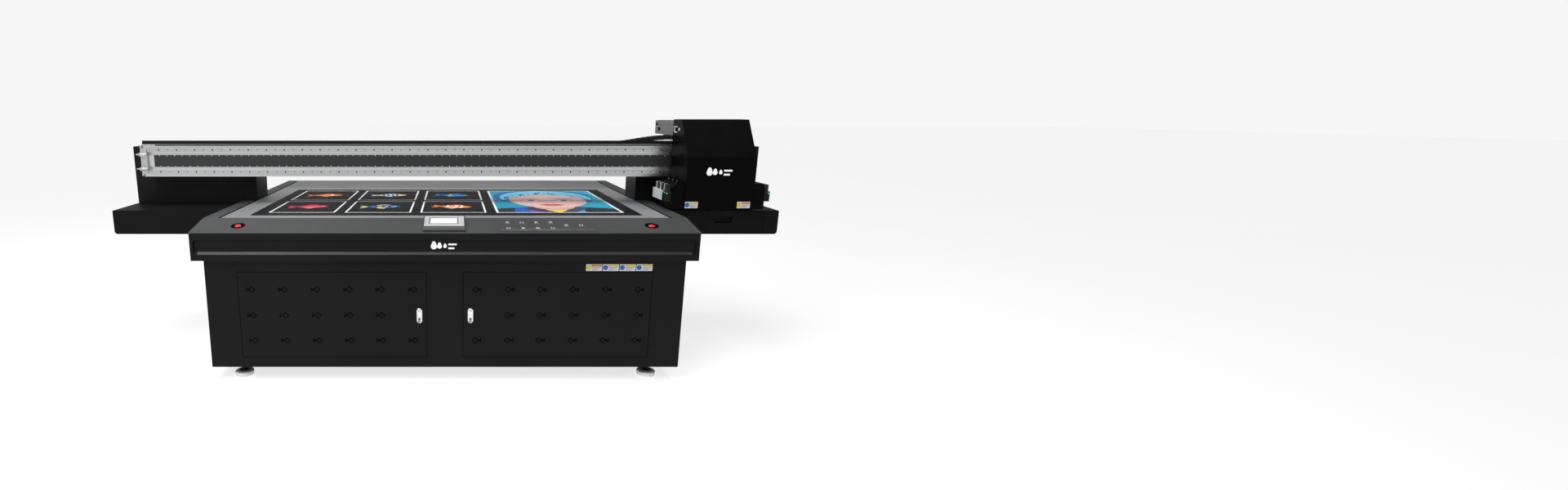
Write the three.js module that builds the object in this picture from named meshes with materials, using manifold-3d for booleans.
// Flatbed UV printer: a fixed table with a vacuum bed, a gantry that travels along the table,
// and a print carriage that travels along the gantry. Millimetres, +Z up, front of the machine
// towards -Y. The origin is on the floor, under the middle of the machine.
import * as THREE from 'three';
import { mergeVertices } from 'three/addons/utils/BufferGeometryUtils.js';
import Module from 'manifold-3d';

const wasm = await Module();
wasm.setup();

// ---------------------------------------------------------------- driving dimensions

const GAP = 0.3; // between pieces that touch
const SHEET = 3; // folded steel sheet
const SIDES = [['left', -1], ['right', 1]];

const TABLE = { halfWidth: 1473, front: -1155, back: 1155, bottom: 753, top: 965, corner: 8 };
const SLOPE = { back: -912, drop: 46.6 }; // control deck, falling towards the front
const SLOT = { inner: 1371, outer: 1385, back: 1056 };
const BED = { halfWidth: 1368, back: 594, depth: 30, skin: 8, wall: 8, cells: 6 };
const APRON = {
  depth: 15, flangeBack: -1112, grooveHalf: 1452, grooveRadius: 22,
  grooveTop: 877, faceTop: 867, faceBottom: 805, grooveBottom: 788, grooveDepth: 12,
};
const CABINET = { halfWidth: 1413, front: -1115, back: 1115, bottom: 82, floor: 4 };
const DOOR = {
  inner: 109, outer: 1221, bottom: 147, top: 675, depth: 18, gap: 3, skin: 2.5,
  hingeX: 1213, hingeY: -1108, pin: 3, pinReach: 11, pinPlay: 0.7, lug: 12, lugHalf: 11,
};
const LATCH = { x: 152, width: 34, bottom: 363, top: 457, thick: 7, standOff: 0.5 };
const ESTOP = {
  x: 1220, y: -1044, hole: 33, holeDepth: 24, barrel: 32, mouth: 28, bore: 11, collar: 41, rim: 4,
  cupFloor: -12, barrelEnd: -24, stem: 9, cap: 20, capBack: -6, capTop: 4.6,
};
const TOUCH = { xs: [-126, 118], front: -1137, back: -942, height: 24, lip: 24 };
const KEYS = { xs: [307, 890], front: -1137, back: -928, height: 1.6 };

const FRAME = {
  inner: 1295, outer: 1405, ledge: 1445, front: -1095, back: 1095, bottom: 86.3, top: 840,
  member: 80, web: 6, ledgeThick: 14,
};
const CROSS = { half: 1294.7, bottom: 760, width: 80, wall: 6, y: [-850, 540] };
const Y_RAIL = { inner: 1408, outer: 1432, top: 866, front: -1000, back: 1092 };
const SCREW = { x: 1330, z: 880, radius: 16, journal: 10, front: -845, back: 985, tail: 995 };
const BEARING = { front: -880, back: -850, half: 25, top: 905, bore: 10.6 };
const MOTOR = { flangeHalf: 40, bodyHalf: 33, flangeBack: 1007, back: 1105 };
const MOTOR_PLUG = { half: 18, reach: 12, y: [1045, 1085] };
const BLOWER = {
  x: -650, z: 330, wheel: 185, wheelY: [-395, -265], motor: 105, motorY: [-290, -30],
  baseHalf: 150, baseY: [-390, -50], baseThick: 16, legs: [60, 120], legY: [-380, -280],
  rearLegHalf: 30, rearLegY: [-100, -60], rearLegTop: 250, port: 35, portX: -760, portTop: 580,
};
const ENCLOSURE = { x: [350, 1050], y: [-420, -170], top: 640, inletInset: [100, 60] };
const FOOT = { x: 1249, y: 1025, pad: 56.5, hub: 31, stem: 12, nut: 22 };

const BEAM = { half: 2103, front: -295, back: -155, bottom: 1153, top: 1377, wall: 8 };
const X_RAIL = { half: 2066, proud: 15, upper: [1324, 1346], lower: [1172, 1194] };
const MAGNET = { half: 2024, proud: 8, z: [1220, 1302] };
const TRAY = { half: 2097, front: -303, back: -157, top: 1401, rearTop: 1394 };
const END_PLATE = { outer: 2112, wrapInner: 2068, front: -312, bottom: 1158, top: 1369 };
const STUD = { y: -330, z: [1308, 1209], head: [-2098, -2069], tip: -2135, radius: 12.5, shank: 4 };
const TOWER = { inner: 1371, step: 1478, outer: 2238, front: -151, back: 106, top: 1352, clear: 969 };
const WING = {
  inner: 1480, outer: 2238, front: -520, back: 135, bottom: 787, top: 948, fold: 20, edge: 6,
  cableY: [-60, 80], cableZ: [830, 900],
};
const LEG = { web: [1375, 1381], y: [-145, 100], top: 1345, base: [880, 892], reach: 1452 };
const BLOCK = { x: [1396, 1444], bottom: 846, y: [[-260, -180], [80, 160]], play: 1 };
const NUT = { x: [1302, 1380], y: [-90, -30], z: [852, 908], bore: 17.6 };
const BRACKET = { outer: 1555, z: [1165, 1335], back: -130, play: 5 };

const CARRIAGE = { left: 1560, right: 2004, middle: 1782 };
const SLIDER = {
  x: [1580, 1984], y: [-345, -333], z: [1110, 1520], inset: 20, play: 1,
  blockLength: 90, blockOver: 16, blockBack: -300, coil: [50, 40], coilGap: 3, coilInset: 6,
};
const REAR_BOX = { x: [1558, 2004], y: [-312.7, 70], z: [1437, 1534], inlet: [1600, 1640] };
const COVER = { front: -617, back: -315, bottom: 971, crease: 1313, top: 1546, topFront: -463 };
const HEADS = {
  plate: [985, 993], x: [1640, 1733, 1827, 1920], y: [-455, -375], size: 56, tip: 973, top: 1063,
  guideInset: 30, guideThick: 10, guideTop: 1300,
};
const LAMP = {
  inner: 222.3, outer: 302, front: -610, back: -325, bottom: 971, top: 1140, bevel: 30,
  wall: 4, hollowTop: 1100,
};
const LAMP_BOX = { outer: 342, front: -595, back: -340, z: [1021, 1085] };
const CHAIN = { fixed: -190, lift: 1228, end: 1562, y: [-275, -185], bottom: 1380.6, height: 14.4 };
const CHAIN_RISE = { lower: [1384, 1404, 1406], upper: [1410, 1436.7, 1436.7], reach: [110, 215] };
const CHAIN_BRACKET = { right: 1650, y: [-297, -110], bottom: 1404 };
const CAP = { x: [1600, 1960], y: [-497, -333], z: [912, 938], lip: 946, gap: 8, rim: 6, over: 3 };
const DRAWER = {
  panel: [1618, 2136], z: [797, 939], tray: [1640, 2110], trayTop: 890, back: -110, wall: 2.5,
  handle: [1808, 1925], handleZ: [864, 903], handleDepth: 20, gap: 2,
};

const bedFront = SLOPE.back + GAP;
const slopeRun = SLOPE.back - TABLE.front;
const slopeAngle = Math.atan2(SLOPE.drop, slopeRun);
const deckHeight = (y) => TABLE.top - ((SLOPE.back - y) * SLOPE.drop) / slopeRun;

// ---------------------------------------------------------------- materials

const paint = (colour, roughness, metalness = 0) =>
  new THREE.MeshStandardMaterial({ color: colour, roughness, metalness });

const blackPaint = () => paint(0x1d1d1f, 0.5);
const deckPaint = () => paint(0x58595b, 0.55);
const rearDeckPaint = () => paint(0x7b7c7d, 0.6);
const framePaint = () => paint(0x3b3f45, 0.6);
const bedAluminium = () => paint(0x9b9c9c, 0.5, 0.6);
const beamAluminium = () => paint(0xb4b6b8, 0.35, 0.9);
const steel = () => paint(0xa9abad, 0.25, 1);
const magnetCover = () => paint(0x35363a, 0.35, 0.5);
const blackPlastic = () => paint(0x151515, 0.6);
const whitePlastic = () => paint(0xd9d9d6, 0.5);
const redPlastic = () => paint(0xb01822, 0.35);
const chrome = () => paint(0xd6d8da, 0.15, 1);
const silverPaint = () => paint(0xb5b8ba, 0.4, 0.5);

// ---------------------------------------------------------------- shapes

const ordered = ([a, b]) => [Math.min(a, b), Math.max(a, b)];
const mirrored = (sign, [a, b]) => ordered([sign * a, sign * b]);

// A closed three.js geometry as a solid that can be joined and cut.
function solid(geometry) {
  geometry.deleteAttribute('normal');
  geometry.deleteAttribute('uv');
  const merged = mergeVertices(geometry, 1e-4);
  const shape = new wasm.Mesh({
    numProp: 3,
    vertProperties: merged.attributes.position.array,
    triVerts: new Uint32Array(merged.index.array),
  });
  return new wasm.Manifold(shape);
}

function block(xs, ys, zs) {
  const [x, y, z] = [xs, ys, zs].map(ordered);
  const geometry = new THREE.BoxGeometry(x[1] - x[0], y[1] - y[0], z[1] - z[0]);
  geometry.translate((x[0] + x[1]) / 2, (y[0] + y[1]) / 2, (z[0] + z[1]) / 2);
  return solid(geometry);
}

const toShape = (outline) =>
  outline instanceof THREE.Shape
    ? outline
    : new THREE.Shape(outline.map(([u, v]) => new THREE.Vector2(u, v)));

const AXES = {
  x: [[0, 1, 0], [0, 0, 1], [1, 0, 0]], // outline in Y and Z
  y: [[0, 0, 1], [1, 0, 0], [0, 1, 0]], // outline in Z and X
  z: [[1, 0, 0], [0, 1, 0], [0, 0, 1]], // outline in X and Y
};

// An outline pushed along one axis between two positions.
function extrude(axis, outline, range, curveSegments = 6) {
  const [low, high] = ordered(range);
  const settings = { depth: high - low, bevelEnabled: false, curveSegments };
  const geometry = new THREE.ExtrudeGeometry(toShape(outline), settings);
  geometry.translate(0, 0, low);
  const basis = AXES[axis].map((direction) => new THREE.Vector3(...direction));
  geometry.applyMatrix4(new THREE.Matrix4().makeBasis(...basis));
  return solid(geometry);
}

function rod(axis, [x, y, z], radius, length, sides = 24) {
  const geometry = new THREE.CylinderGeometry(radius, radius, length, sides);
  if (axis === 'x') geometry.rotateZ(Math.PI / 2);
  if (axis === 'z') geometry.rotateX(Math.PI / 2);
  geometry.translate(x, y, z);
  return solid(geometry);
}

// A profile of [radius, height] points turned about the Z axis.
function turned(profile, sides = 32) {
  const points = profile.map(([radius, height]) => new THREE.Vector2(radius, height));
  const geometry = new THREE.LatheGeometry(points, sides);
  geometry.rotateX(Math.PI / 2);
  return solid(geometry);
}

// Radii of the corners in turn: high x with low y, both high, low x with high y, both low.
function roundedOutline([x0, x1], [y0, y1], radii) {
  const corners = [[x1, y0, -1, 1], [x1, y1, -1, -1], [x0, y1, 1, -1], [x0, y0, 1, 1]];
  const shape = new THREE.Shape();
  const quarter = Math.PI / 2;
  corners.forEach(([x, y, inX, inY], index) => {
    const radius = radii[index];
    const start = (index - 1) * quarter;
    shape.absarc(x + inX * radius, y + inY * radius, radius, start, start + quarter);
  });
  return shape;
}

const roundedRectangle = (xs, ys, radius) =>
  roundedOutline(xs, ys, [radius, radius, radius, radius]);

const join = (first, ...others) => others.reduce((whole, other) => whole.add(other), first);
const cut = (first, ...others) => others.reduce((whole, other) => whole.subtract(other), first);

function piece(parent, name, form, material) {
  const mesh = form.getMesh();
  const geometry = new THREE.BufferGeometry();
  geometry.setAttribute('position', new THREE.BufferAttribute(mesh.vertProperties, 3));
  geometry.setIndex(new THREE.BufferAttribute(mesh.triVerts, 1));
  geometry.computeVertexNormals();
  const node = new THREE.Mesh(geometry, material);
  node.name = name;
  parent.add(node);
  return node;
}

function group(parent, position = [0, 0, 0], tilt = 0) {
  const holder = new THREE.Group();
  holder.position.set(...position);
  holder.rotation.x = tilt;
  parent.add(holder);
  return holder;
}

// The table's outline seen from above, to round the corners of what is cut with it.
const tablePlan = () => extrude(
  'z',
  roundedRectangle([-TABLE.halfWidth, TABLE.halfWidth], [TABLE.front, TABLE.back], TABLE.corner),
  [TABLE.bottom - SHEET, TABLE.top + SHEET],
);

// ---------------------------------------------------------------- table skirt and deck

// Front fascia with a long recessed groove and a folded flange underneath.
function apron() {
  const { halfWidth, front, bottom } = TABLE;
  const top = deckHeight(front) - SHEET - GAP;
  const back = front + APRON.depth;
  const xs = [-halfWidth, halfWidth];
  const board = block(xs, [front, back], [bottom + GAP, top]);
  const inside = front + APRON.grooveDepth;
  const groove = extrude('x', [
    [front - 1, APRON.grooveTop],
    [inside, APRON.faceTop],
    [inside, APRON.faceBottom],
    [front - 1, APRON.grooveBottom],
  ], xs);
  const ends = extrude('y', roundedRectangle(
    [APRON.grooveBottom, APRON.grooveTop],
    [-APRON.grooveHalf, APRON.grooveHalf],
    APRON.grooveRadius,
  ), [front - 2, inside + 1]);
  const flangeHalf = halfWidth - SHEET - GAP;
  const flange = block(
    [-flangeHalf, flangeHalf],
    [front + 2, APRON.flangeBack],
    [bottom + GAP, bottom + GAP + SHEET],
  );
  return join(cut(board, groove.intersect(ends)), flange).intersect(tablePlan());
}

function controlDeck() {
  const { halfWidth, front, top } = TABLE;
  const sheet = extrude('x', [
    [SLOPE.back, top],
    [front, deckHeight(front)],
    [front, deckHeight(front) - SHEET],
    [SLOPE.back, top - SHEET],
  ], [-halfWidth, halfWidth]);
  const holes = SIDES.map(([, sign]) => rod(
    'z', [sign * ESTOP.x, ESTOP.y, deckHeight(ESTOP.y)], ESTOP.hole, ESTOP.holeDepth, 32,
  ));
  return cut(sheet, ...holes).intersect(tablePlan());
}

// Strip outside the slot, folded down into the side skirt and in under the table.
function railCover(sign) {
  const { halfWidth, front, back, bottom, top } = TABLE;
  const start = front + APRON.depth + GAP;
  const low = bottom + GAP;
  const under = SHEET + 2 * GAP;
  const outer = [halfWidth - SHEET, halfWidth];
  const across = [SLOT.outer, halfWidth];
  const strip = block(mirrored(sign, across), [bedFront, back], [top - SHEET, top]);
  const skirt = extrude('x', [
    [start, low],
    [back, low],
    [back, top - 1],
    [bedFront, top - 1],
    [bedFront, top - under],
    [start, deckHeight(start) - under],
  ], mirrored(sign, outer));
  const rear = block(mirrored(sign, across), [back - SHEET, back], [low, top]);
  const fold = block(
    mirrored(sign, [CABINET.halfWidth - 5, halfWidth]),
    [APRON.flangeBack + GAP, back],
    [low, low + SHEET],
  );
  return join(strip, skirt, rear, fold).intersect(tablePlan());
}

function rearDeck() {
  const { back, bottom, top } = TABLE;
  const inner = SLOT.inner - GAP;
  const full = SLOT.outer - GAP;
  const sheet = [top - SHEET, top];
  return join(
    block([-inner, inner], [BED.back + GAP, back], sheet),
    block([-full, full], [SLOT.back, back], sheet),
    block([-full, full], [back - SHEET, back], [bottom + GAP, top]),
    block([-full, full], [CABINET.back - SHEET, back], [bottom + GAP, bottom + GAP + SHEET]),
  );
}

// Aluminium plate with a rim and ribs underneath.
function vacuumBed() {
  const { halfWidth, back, depth, skin, wall, cells } = BED;
  const bottom = TABLE.top - depth;
  const plate = block([-halfWidth, halfWidth], [bedFront, back], [bottom, TABLE.top]);
  const cell = (2 * halfWidth - (cells + 1) * wall) / cells;
  const pockets = Array.from({ length: cells }, (_, index) => {
    const left = -halfWidth + wall + index * (cell + wall);
    return block([left, left + cell], [bedFront + wall, back - wall], [bottom - 1, TABLE.top - skin]);
  });
  return cut(plate, ...pockets);
}

function touchPanel() {
  const { xs, front, back, height, lip } = TOUCH;
  return extrude('x', [
    [front, deckHeight(front) + GAP],
    [back, deckHeight(back) + GAP],
    [back, deckHeight(back) + height],
    [front + lip, deckHeight(front + lip) + height],
    [front, deckHeight(front) + height / 2],
  ], xs);
}

function buttonPanel() {
  const { xs, front, back, height } = KEYS;
  return extrude('x', [
    [front, deckHeight(front) + GAP],
    [back, deckHeight(back) + GAP],
    [back, deckHeight(back) + height],
    [front, deckHeight(front) + height],
  ], xs);
}

// Low ring on the deck round a sunken cup, bored for the button's stem.
function estopCollar() {
  const { barrel, mouth, bore, collar, rim, cupFloor, barrelEnd } = ESTOP;
  return turned([
    [bore, barrelEnd],
    [barrel, barrelEnd],
    [barrel, GAP],
    [collar, GAP],
    [collar, rim / 2],
    [collar - rim / 2, rim],
    [mouth + 1, rim],
    [mouth, rim - 1],
    [mouth, cupFloor],
    [bore, cupFloor],
    [bore, barrelEnd],
  ]);
}

// Mushroom button with its face about level with the deck.
function estopButton() {
  const { stem, cap, capBack, capTop, barrelEnd } = ESTOP;
  return turned([
    [0, barrelEnd + 2],
    [stem, barrelEnd + 2],
    [stem, capBack],
    [cap - 2, capBack],
    [cap, capBack / 2],
    [cap, 0],
    [cap - 3, 0.6 * capTop],
    [cap / 2, 0.9 * capTop],
    [0, capTop],
  ]);
}

// ---------------------------------------------------------------- cabinet

function cabinetFront() {
  const { halfWidth, front, bottom } = CABINET;
  const inner = front + SHEET;
  const sheet = block([-halfWidth, halfWidth], [front, inner], [bottom, TABLE.bottom]);
  const openings = SIDES.map(([, sign]) => block(
    mirrored(sign, [DOOR.inner - DOOR.gap, DOOR.outer + DOOR.gap]),
    [front - 1, inner + 1],
    [DOOR.bottom - DOOR.gap, DOOR.top + DOOR.gap],
  ));
  const lugs = SIDES.flatMap(([, sign]) => [
    hingeLug(sign, DOOR.top + DOOR.gap, DOOR.lug),
    hingeLug(sign, DOOR.bottom - DOOR.gap - DOOR.lug, DOOR.lug),
  ]);
  return join(cut(sheet, ...openings), ...lugs);
}

// Drilled lug behind the cabinet front that holds one end of a door's pin.
function hingeLug(sign, low, height) {
  const { hingeX, hingeY, pin, pinPlay, lugHalf } = DOOR;
  const x = sign * hingeX;
  const ys = [CABINET.front + 1, hingeY + lugHalf];
  const lug = block([x - lugHalf, x + lugHalf], ys, [low, low + height]);
  return cut(lug, rod('z', [x, hingeY, low + height / 2], pin + pinPlay, height + 2, 16));
}

function cabinetSide(sign) {
  const { halfWidth, front, back, bottom } = CABINET;
  const inset = SHEET + GAP;
  const xs = mirrored(sign, [halfWidth - SHEET, halfWidth]);
  return block(xs, [front + inset, back - inset], [bottom, TABLE.bottom]);
}

function cabinetBack() {
  const { halfWidth, back, bottom } = CABINET;
  return block([-halfWidth, halfWidth], [back - SHEET, back], [bottom, TABLE.bottom]);
}

function cabinetFloor() {
  const { halfWidth, front, back, bottom, floor } = CABINET;
  const inset = SHEET + GAP;
  const half = halfWidth - inset;
  return block([-half, half], [front + inset, back - inset], [bottom, bottom + floor]);
}

// Shallow pan with a pin at the top and the bottom of its outer edge.
function door(sign) {
  const { inner, outer, bottom, top, depth, skin, pin, pinReach, hingeX, hingeY } = DOOR;
  const front = CABINET.front;
  const pan = cut(
    block(mirrored(sign, [inner, outer]), [front, front + depth], [bottom, top]),
    block(
      mirrored(sign, [inner + skin, outer - skin]),
      [front + skin, front + depth + 1],
      [bottom + skin, top - skin],
    ),
  );
  const pins = [top + pinReach / 2 - 1, bottom - pinReach / 2 + 1].map((z) => rod(
    'z', [sign * hingeX, hingeY, z], pin, pinReach + 1, 12,
  ));
  return join(pan, ...pins);
}

// Oval lift-up latch plate, standing just in front of the door.
function latch(sign) {
  const { x, width, bottom, top, thick, standOff } = LATCH;
  const back = CABINET.front - standOff;
  const xs = mirrored(sign, [x - width / 2, x + width / 2]);
  return extrude('y', roundedRectangle([bottom, top], xs, width / 2 - 1), [back - thick, back], 5);
}

function levellingFoot() {
  const { pad, hub, stem, nut } = FOOT;
  return turned([
    [0, 0],
    [pad - 1, 0],
    [pad, 2],
    [pad, 15],
    [pad - 5, 19],
    [hub + 2, 20],
    [hub, 34],
    [stem, 38],
    [stem, 58],
    [nut, 58],
    [nut, 72],
    [stem, 72],
    [stem, CABINET.bottom - GAP],
    [0, CABINET.bottom - GAP],
  ]);
}

// ---------------------------------------------------------------- frame and drives

// Two-bay side frame, its members made slimmer by an inset all round.
function frameRing(xs, inset) {
  const { front, back, bottom, top, member } = FRAME;
  const bays = [[front + member, -member / 2], [member / 2, back - member]];
  const open = [Math.min(...xs) - 1, Math.max(...xs) + 1];
  return cut(
    block(xs, [front + inset, back - inset], [bottom + inset, top - inset]),
    ...bays.map(([start, end]) => block(
      open,
      [start - inset, end + inset],
      [bottom + member - inset, top - member + inset],
    )),
  );
}

// Channel-section side frame with the ledge for the rail and the screw's front bearing.
function sideFrame(sign) {
  const { inner, outer, ledge, front, back, top, web, ledgeThick } = FRAME;
  const ring = frameRing(mirrored(sign, [inner, outer]), 0);
  const channel = frameRing(mirrored(sign, [inner - 1, outer - web]), web);
  const shelf = block(mirrored(sign, [outer - web, ledge]), [front, back], [top - ledgeThick, top]);
  const bearing = cut(
    block(
      mirrored(sign, [SCREW.x - BEARING.half, SCREW.x + BEARING.half]),
      [BEARING.front, BEARING.back],
      [top - 1, BEARING.top],
    ),
    rod('y', [sign * SCREW.x, BEARING.front, SCREW.z], BEARING.bore, 100, 20),
  );
  return join(cut(ring, channel), shelf, bearing);
}

// Channel across the machine, under the bed.
function crossBeam(y, open) {
  const { half, bottom, width, wall } = CROSS;
  const top = TABLE.top - BED.depth - GAP;
  const [front, back] = [y - width / 2, y + width / 2];
  const pocket = open === 'front' ? [front - 1, back - wall] : [front + wall, back + 1];
  return cut(
    block([-half, half], [front, back], [bottom, top]),
    block([-half - 1, half + 1], pocket, [bottom + wall, top - wall]),
  );
}

function yRail(sign) {
  const { inner, outer, top, front, back } = Y_RAIL;
  return block(mirrored(sign, [inner, outer]), [front, back], [FRAME.top + GAP, top]);
}

function yMotor(sign) {
  const { flangeHalf, bodyHalf, flangeBack, back } = MOTOR;
  const x = sign * SCREW.x;
  const front = SCREW.tail + GAP;
  const base = FRAME.top + GAP;
  return join(
    block([x - flangeHalf, x + flangeHalf], [front, flangeBack], [base, SCREW.z + flangeHalf]),
    block([x - bodyHalf, x + bodyHalf], [front, back], [SCREW.z - bodyHalf, SCREW.z + bodyHalf]),
    block(
      [x - MOTOR_PLUG.half, x + MOTOR_PLUG.half],
      MOTOR_PLUG.y,
      [SCREW.z, SCREW.z + bodyHalf + MOTOR_PLUG.reach],
    ),
  );
}

function yScrew(sign) {
  const { x, z, radius, journal, front, back, tail } = SCREW;
  const [start, end] = [BEARING.front - 4, tail];
  return join(
    rod('y', [sign * x, (front + back) / 2, z], radius, back - front, 20),
    rod('y', [sign * x, (start + end) / 2, z], journal, end - start, 20),
  );
}

// Side channel blower that makes the bed's vacuum: wheel housing, motor, base, legs and port.
function vacuumBlower() {
  const { x, z, wheel, wheelY, motor, motorY, baseHalf, baseY, baseThick, legs, legY } = BLOWER;
  const { rearLegHalf, rearLegY, rearLegTop, port, portX, portTop } = BLOWER;
  const floor = CABINET.bottom + CABINET.floor + GAP;
  const middle = ([start, end]) => (start + end) / 2;
  const drum = (radius, ys, sides) => rod('y', [x, middle(ys), z], radius, ys[1] - ys[0], sides);
  return join(
    drum(wheel, wheelY, 32),
    drum(motor, motorY, 24),
    block([x - baseHalf, x + baseHalf], baseY, [floor, floor + baseThick]),
    ...SIDES.map(([, sign]) => block(legs.map((offset) => x + sign * offset), legY, [floor, z])),
    block([x - rearLegHalf, x + rearLegHalf], rearLegY, [floor, rearLegTop]),
    rod('z', [portX, middle(wheelY), (z + portTop) / 2], port, portTop - z, 20),
  );
}

// Electrical enclosure with a cable opening in its floor.
function controlBox() {
  const { x, y, top, inletInset } = ENCLOSURE;
  const low = CABINET.bottom + CABINET.floor + GAP;
  const inset = ([start, end], by) => [start + by, end - by];
  return cut(
    block(x, y, [low, top]),
    block(inset(x, SHEET), inset(y, SHEET), [low + SHEET, top - SHEET]),
    block(inset(x, inletInset[0]), inset(y, inletInset[1]), [low - 1, low + 2 * SHEET]),
  );
}

// ---------------------------------------------------------------- gantry

function gantryBeam() {
  const { half, front, back, bottom, top, wall } = BEAM;
  return cut(
    block([-half, half], [front, back], [bottom, top]),
    block([-half - 1, half + 1], [front + wall, back - wall], [bottom + wall, top - wall]),
  );
}

const xRail = (zs) =>
  block([-X_RAIL.half, X_RAIL.half], [BEAM.front - X_RAIL.proud, BEAM.front - GAP], zs);

const magnetTrack = () =>
  block([-MAGNET.half, MAGNET.half], [BEAM.front - MAGNET.proud, BEAM.front - GAP], MAGNET.z);

// Open channel that lies on the beam and carries the cable chain; its front wall is the taller.
function chainTray() {
  const { half, front, back, top, rearTop } = TRAY;
  const bottom = BEAM.top + GAP;
  return cut(
    block([-half, half], [front, back], [bottom, top]),
    block([-half - 1, half + 1], [front + SHEET, back - SHEET], [bottom + SHEET, top + 1]),
    block([-half - 1, half + 1], [back - SHEET - 1, back + 1], [rearTop, top + 1]),
  );
}

// Plate over the end of the beam, folded round its front, with stop studs on the left one.
function beamEnd(sign) {
  const { outer, wrapInner, front, bottom, top } = END_PLATE;
  const cap = block(
    mirrored(sign, [BEAM.half + GAP, outer]),
    [front, BEAM.back],
    [bottom, top],
  );
  const wrap = block(
    mirrored(sign, [wrapInner, outer]),
    [front, BEAM.front - GAP],
    [X_RAIL.lower[0], X_RAIL.upper[1]],
  );
  const plate = join(cap, wrap);
  return sign < 0 ? join(plate, ...STUD.z.map(stopStud)) : plate;
}

function stopStud(z) {
  const { y, head, tip, radius, shank } = STUD;
  const lugFace = head[0] - 10;
  return join(
    block([lugFace, head[0]], [y - radius, END_PLATE.front + 1], [z - radius, z + radius]),
    rod('x', [(head[0] + head[1]) / 2 - 1, y, z], radius, head[1] - head[0] + 2),
    rod('x', [(tip + head[0]) / 2, y, z], shank, head[0] - tip, 12),
  );
}

// Sheet housing on the end of the gantry, stepped to clear the table's edge strip.
function tower(sign) {
  const { inner, step, outer, front, back, top, clear } = TOWER;
  const low = WING.top + GAP;
  const mirroredOutline = (points) => points.map(([z, x]) => [z, sign * x]);
  const shell = extrude('y', mirroredOutline([
    [clear, inner],
    [top, inner],
    [top, outer],
    [low, outer],
    [low, step],
    [clear, step],
  ]), [front, back]);
  const hollow = block(
    mirrored(sign, [inner + SHEET, outer - SHEET]),
    [front + SHEET, back - SHEET],
    [low - 1, top - SHEET],
  );
  const window = block(
    mirrored(sign, [inner + SHEET, BRACKET.outer + BRACKET.play]),
    [front - 1, front + 2 * SHEET],
    [BRACKET.z[0] - BRACKET.play, BRACKET.z[1] + BRACKET.play],
  );
  return cut(shell, hollow, window);
}

// Upright through the slot: bearing blocks and screw nut below the deck, beam bracket above it.
function gantryLeg(sign) {
  const web = block(mirrored(sign, LEG.web), LEG.y, [LEG.base[0], LEG.top]);
  const base = block(
    mirrored(sign, [LEG.web[0], LEG.reach]),
    [BLOCK.y[0][0], BLOCK.y[1][1]],
    LEG.base,
  );
  const blocks = BLOCK.y.map((ys) => cut(
    block(mirrored(sign, BLOCK.x), ys, [BLOCK.bottom, LEG.base[0] + 1]),
    block(
      mirrored(sign, [Y_RAIL.inner - BLOCK.play, Y_RAIL.outer + BLOCK.play]),
      [ys[0] - 1, ys[1] + 1],
      [BLOCK.bottom - 1, Y_RAIL.top + BLOCK.play],
    ),
  ));
  const nutMiddle = (NUT.y[0] + NUT.y[1]) / 2;
  const nut = cut(
    block(mirrored(sign, NUT.x), NUT.y, NUT.z),
    rod('y', [sign * SCREW.x, nutMiddle, SCREW.z], NUT.bore, 100, 24),
  );
  const bracket = block(
    mirrored(sign, [LEG.web[0], BRACKET.outer]),
    [BEAM.back + GAP, BRACKET.back],
    BRACKET.z,
  );
  return join(web, base, ...blocks, nut, bracket);
}

// Low side housing, folded round its lower outer edge, with a cable opening towards the table.
function wing(sign) {
  const { inner, outer, front, back, bottom, top, fold, edge, cableY, cableZ } = WING;
  const section = (inset) => {
    const [plain, folded] = [edge - inset, fold - inset];
    const radii = sign > 0 ? [plain, plain, folded, plain] : [plain, plain, plain, folded];
    const xs = mirrored(sign, [inner + inset, outer - inset]);
    return roundedOutline([bottom + inset, top - inset], xs, radii);
  };
  const shell = extrude('y', section(0), [front, back]);
  const hollow = extrude('y', section(SHEET), [front + SHEET, back - SHEET]);
  const cable = block(mirrored(sign, [inner - 1, inner + 2 * SHEET]), cableY, cableZ);
  return cut(shell, hollow, cable);
}

// The right wing also opens upwards for the capping station and forwards for the waste drawer.
function rightWing() {
  const { panel, z, gap } = DRAWER;
  const above = block(
    [CAP.x[0] - CAP.gap, CAP.x[1] + CAP.gap],
    [CAP.y[0] - CAP.gap, CAP.y[1] + CAP.gap],
    [WING.top - 2 * SHEET, WING.top + 1],
  );
  const ahead = block(
    [panel[0] - gap, panel[1] + gap],
    [WING.front - 1, WING.front + 2 * SHEET],
    [z[0] - gap, z[1] + gap],
  );
  return cut(wing(1), above, ahead);
}

function wasteDrawer() {
  const { panel, z, tray, trayTop, back, wall, handle, handleZ, handleDepth } = DRAWER;
  const front = WING.front;
  const board = block(panel, [front, front + SHEET], z);
  const bin = cut(
    block(tray, [front + 1, back], [z[0], trayTop]),
    block([tray[0] + wall, tray[1] - wall], [front + SHEET, back - wall], [z[0] + wall, trayTop + 1]),
  );
  const grown = (pair, by) => [pair[0] - by, pair[1] + by];
  const cup = block(grown(handle, wall), [front, front + handleDepth + wall], grown(handleZ, wall));
  const recess = block(handle, [front - 1, front + handleDepth], handleZ);
  return cut(join(board, bin, cup), recess);
}

// Tray with a raised rim for each print head.
function cappingStation() {
  const base = block(CAP.x, CAP.y, CAP.z);
  const rims = HEADS.x.flatMap((x) => HEADS.y.map((y) => {
    const half = HEADS.size / 2 + CAP.over;
    const square = (reach) => [[x - reach, x + reach], [y - reach, y + reach]];
    return cut(
      block(...square(half), [CAP.z[1] - 1, CAP.lip]),
      block(...square(half - CAP.rim), [CAP.z[1], CAP.lip + 1]),
    );
  }));
  return join(base, ...rims);
}

// ---------------------------------------------------------------- print carriage

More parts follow.
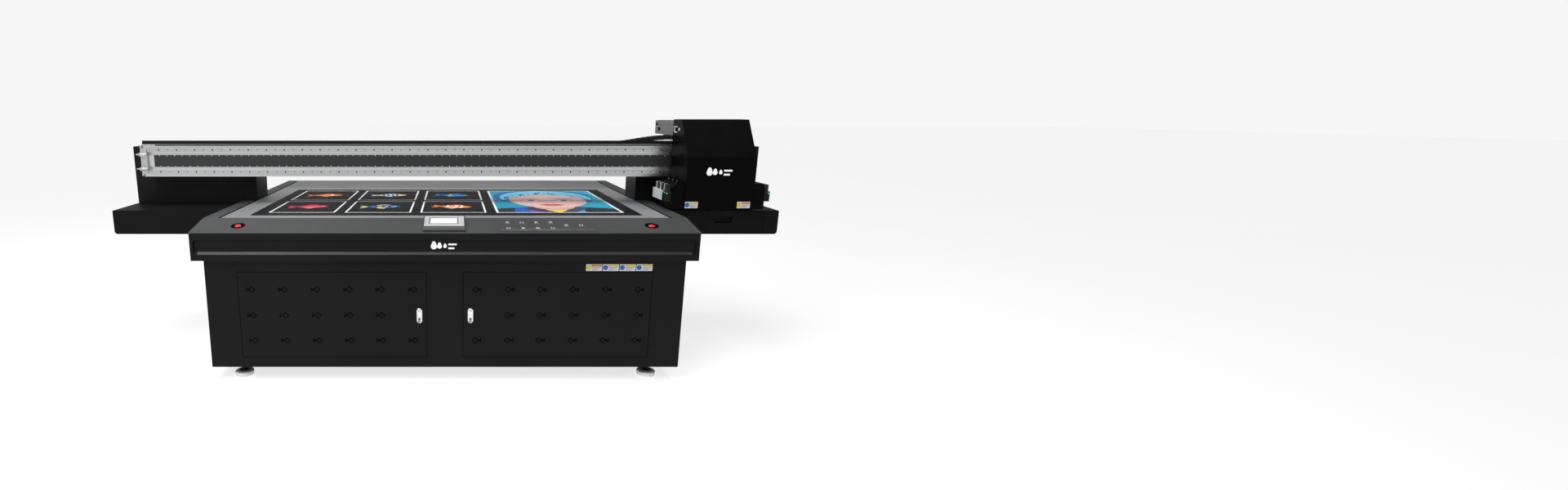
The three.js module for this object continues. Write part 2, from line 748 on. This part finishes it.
// Plate on four bearing blocks, with the linear motor's coil between the rails.
function xSlider() {
  const { x, y, z, inset, play, blockLength, blockOver, blockBack } = SLIDER;
  const { coil, coilGap, coilInset } = SLIDER;
  const back = y[1];
  const starts = [x[0] + inset, x[1] - inset - blockLength];
  const blocks = starts.flatMap((start) => [X_RAIL.upper, X_RAIL.lower].map(([low, high]) => cut(
    block([start, start + blockLength], [back - 1, blockBack], [low - blockOver, high + blockOver]),
    block(
      [start - 1, start + blockLength + 1],
      [BEAM.front - X_RAIL.proud - play, BEAM.front],
      [low - play, high + play],
    ),
  )));
  const motor = block(
    [starts[0] + coil[0], starts[1] + coil[1]],
    [back - 1, BEAM.front - MAGNET.proud - coilGap],
    [MAGNET.z[0] + coilInset, MAGNET.z[1] - coilInset],
  );
  const shelf = block(
    [x[0] + inset, x[1] - inset],
    [back - 1, REAR_BOX.y[0] - GAP],
    [REAR_BOX.z[0], z[1]],
  );
  return join(block(x, y, z), ...blocks, motor, shelf);
}

// Electronics housing behind the head, over the cable tray.
function rearBox() {
  const { x, y, z, inlet } = REAR_BOX;
  const inset = ([low, high]) => [low + SHEET, high - SHEET];
  return cut(
    block(x, y, z),
    block(inset(x), inset(y), inset(z)),
    block(inlet, CHAIN.y, [z[0] - 1, z[0] + 2 * SHEET]),
  );
}

// Hood over the print heads, open underneath and behind.
function headCover() {
  const { left, right } = CARRIAGE;
  const { front, back, bottom, crease, top, topFront } = COVER;
  const outline = (inset, rear, low) => [
    [front + inset, low],
    [rear, low],
    [rear, top - inset],
    [topFront + inset * 0.8, top - inset],
    [front + inset, crease - inset * 0.3],
  ];
  return cut(
    extrude('x', outline(0, back, bottom), [left, right]),
    extrude('x', outline(SHEET, back + 10, bottom - 10), [left + SHEET, right - SHEET]),
  );
}

function headPlate() {
  const { plate, x, y, size, tip, top, guideInset, guideThick, guideTop } = HEADS;
  const inset = SHEET + GAP;
  const [left, right] = [CARRIAGE.left + inset, CARRIAGE.right - inset];
  const back = SLIDER.y[0] - 2;
  const heads = x.flatMap((cx) => y.map((cy) => block(
    [cx - size / 2, cx + size / 2], [cy - size / 2, cy + size / 2], [tip, top],
  )));
  return join(
    block([left, right], [COVER.front + inset, back], plate),
    block([left + guideInset, right - guideInset], [back - guideThick, back], [plate[0], guideTop]),
    ...heads,
  );
}

// Curing lamp housing with its outer top edge cut off and an outlet box on its side.
function uvLamp(sign) {
  const at = (offset) => CARRIAGE.middle + sign * offset;
  const { inner, outer, front, back, bottom, top, bevel, wall, hollowTop } = LAMP;
  const shell = extrude('y', [
    [bottom, at(inner)],
    [top, at(inner)],
    [top, at(outer - bevel)],
    [top - bevel, at(outer)],
    [bottom, at(outer)],
  ], [front, back]);
  const hollow = block(
    [at(inner + wall), at(outer - wall)],
    [front + wall, back - wall],
    [bottom - 1, hollowTop],
  );
  const outlet = block([at(outer - 1), at(LAMP_BOX.outer)], [LAMP_BOX.front, LAMP_BOX.back], LAMP_BOX.z);
  return join(cut(shell, hollow), outlet);
}

const flatChain = () =>
  block([CHAIN.fixed, CHAIN.lift - GAP], CHAIN.y, [CHAIN.bottom, CHAIN.bottom + CHAIN.height]);

// The last stretch of the chain, rising from the tray and growing thicker with the hoses that
// join it, up to its bracket under the rear box.
function chainRise() {
  const { lift, end, y, bottom, height } = CHAIN;
  const curve = (start, levels) => new THREE.CubicBezierCurve(
    new THREE.Vector2(start, lift),
    new THREE.Vector2(levels[0], lift + CHAIN_RISE.reach[0]),
    new THREE.Vector2(levels[1], lift + CHAIN_RISE.reach[1]),
    new THREE.Vector2(levels[2], end),
  ).getPoints(12);
  const outline = [
    ...curve(bottom, CHAIN_RISE.lower),
    ...curve(bottom + height, CHAIN_RISE.upper).reverse(),
  ].map((point) => [point.x, point.y]);
  const bracket = block(
    [end - 1, CHAIN_BRACKET.right],
    CHAIN_BRACKET.y,
    [CHAIN_BRACKET.bottom, REAR_BOX.z[0] - GAP],
  );
  return join(extrude('y', outline, y), bracket);
}

// ---------------------------------------------------------------- assembly

function buildTable(parent) {
  piece(parent, 'apron', apron(), blackPaint());
  piece(parent, 'control_deck', controlDeck(), deckPaint());
  piece(parent, 'rear_deck', rearDeck(), rearDeckPaint());
  piece(parent, 'vacuum_bed', vacuumBed(), bedAluminium());
  piece(parent, 'touch_panel', touchPanel(), silverPaint());
  piece(parent, 'button_panel', buttonPanel(), deckPaint());
  for (const [side, sign] of SIDES) {
    piece(parent, `rail_cover_${side}`, railCover(sign), deckPaint());
    const seat = group(parent, [sign * ESTOP.x, ESTOP.y, deckHeight(ESTOP.y)], slopeAngle);
    piece(seat, `estop_collar_${side}`, estopCollar(), blackPlastic());
    piece(seat, `estop_button_${side}`, estopButton(), redPlastic());
  }
}

function buildCabinet(parent) {
  piece(parent, 'cabinet_front', cabinetFront(), blackPaint());
  piece(parent, 'cabinet_back', cabinetBack(), blackPaint());
  piece(parent, 'cabinet_floor', cabinetFloor(), blackPaint());
  for (const [side, sign] of SIDES) {
    piece(parent, `cabinet_side_${side}`, cabinetSide(sign), blackPaint());
    piece(parent, `door_${side}`, door(sign), blackPaint());
    piece(parent, `latch_${side}`, latch(sign), chrome());
    for (const [end, along] of [['front', -1], ['rear', 1]]) {
      const spot = group(parent, [sign * FOOT.x, along * FOOT.y, 0]);
      piece(spot, `foot_${end}_${side}`, levellingFoot(), whitePlastic());
    }
  }
}

function buildFrame(parent) {
  piece(parent, 'frame_beam_front', crossBeam(CROSS.y[0], 'front'), framePaint());
  piece(parent, 'frame_beam_rear', crossBeam(CROSS.y[1], 'rear'), framePaint());
  piece(parent, 'vacuum_blower', vacuumBlower(), silverPaint());
  piece(parent, 'control_box', controlBox(), silverPaint());
  for (const [side, sign] of SIDES) {
    piece(parent, `frame_side_${side}`, sideFrame(sign), framePaint());
    piece(parent, `y_rail_${side}`, yRail(sign), steel());
    piece(parent, `y_motor_${side}`, yMotor(sign), blackPaint());
    piece(parent, `y_screw_${side}`, yScrew(sign), steel());
  }
}

function buildGantry(parent) {
  piece(parent, 'gantry_beam', gantryBeam(), beamAluminium());
  piece(parent, 'x_rail_upper', xRail(X_RAIL.upper), steel());
  piece(parent, 'x_rail_lower', xRail(X_RAIL.lower), steel());
  piece(parent, 'magnet_track', magnetTrack(), magnetCover());
  piece(parent, 'chain_tray', chainTray(), blackPaint());
  piece(parent, 'cable_chain', flatChain(), blackPlastic());
  piece(parent, 'wing_left', wing(-1), blackPaint());
  piece(parent, 'wing_right', rightWing(), blackPaint());
  piece(parent, 'waste_drawer', wasteDrawer(), blackPaint());
  piece(parent, 'capping_station', cappingStation(), blackPlastic());
  for (const [side, sign] of SIDES) {
    piece(parent, `beam_end_${side}`, beamEnd(sign), beamAluminium());
    piece(parent, `tower_${side}`, tower(sign), blackPaint());
    piece(parent, `gantry_leg_${side}`, gantryLeg(sign), framePaint());
  }
}

function buildCarriage(parent) {
  piece(parent, 'x_slider', xSlider(), beamAluminium());
  piece(parent, 'rear_box', rearBox(), silverPaint());
  piece(parent, 'cable_chain_end', chainRise(), blackPlastic());
  piece(parent, 'head_cover', headCover(), blackPaint());
  piece(parent, 'head_plate', headPlate(), beamAluminium());
  for (const [side, sign] of SIDES) {
    piece(parent, `uv_lamp_${side}`, uvLamp(sign), blackPaint());
  }
}

const printer = new THREE.Group();
buildFrame(group(printer));
buildCabinet(group(printer));
buildTable(group(printer));
const gantry = group(printer);
buildGantry(gantry);
buildCarriage(group(gantry));

export default printer;
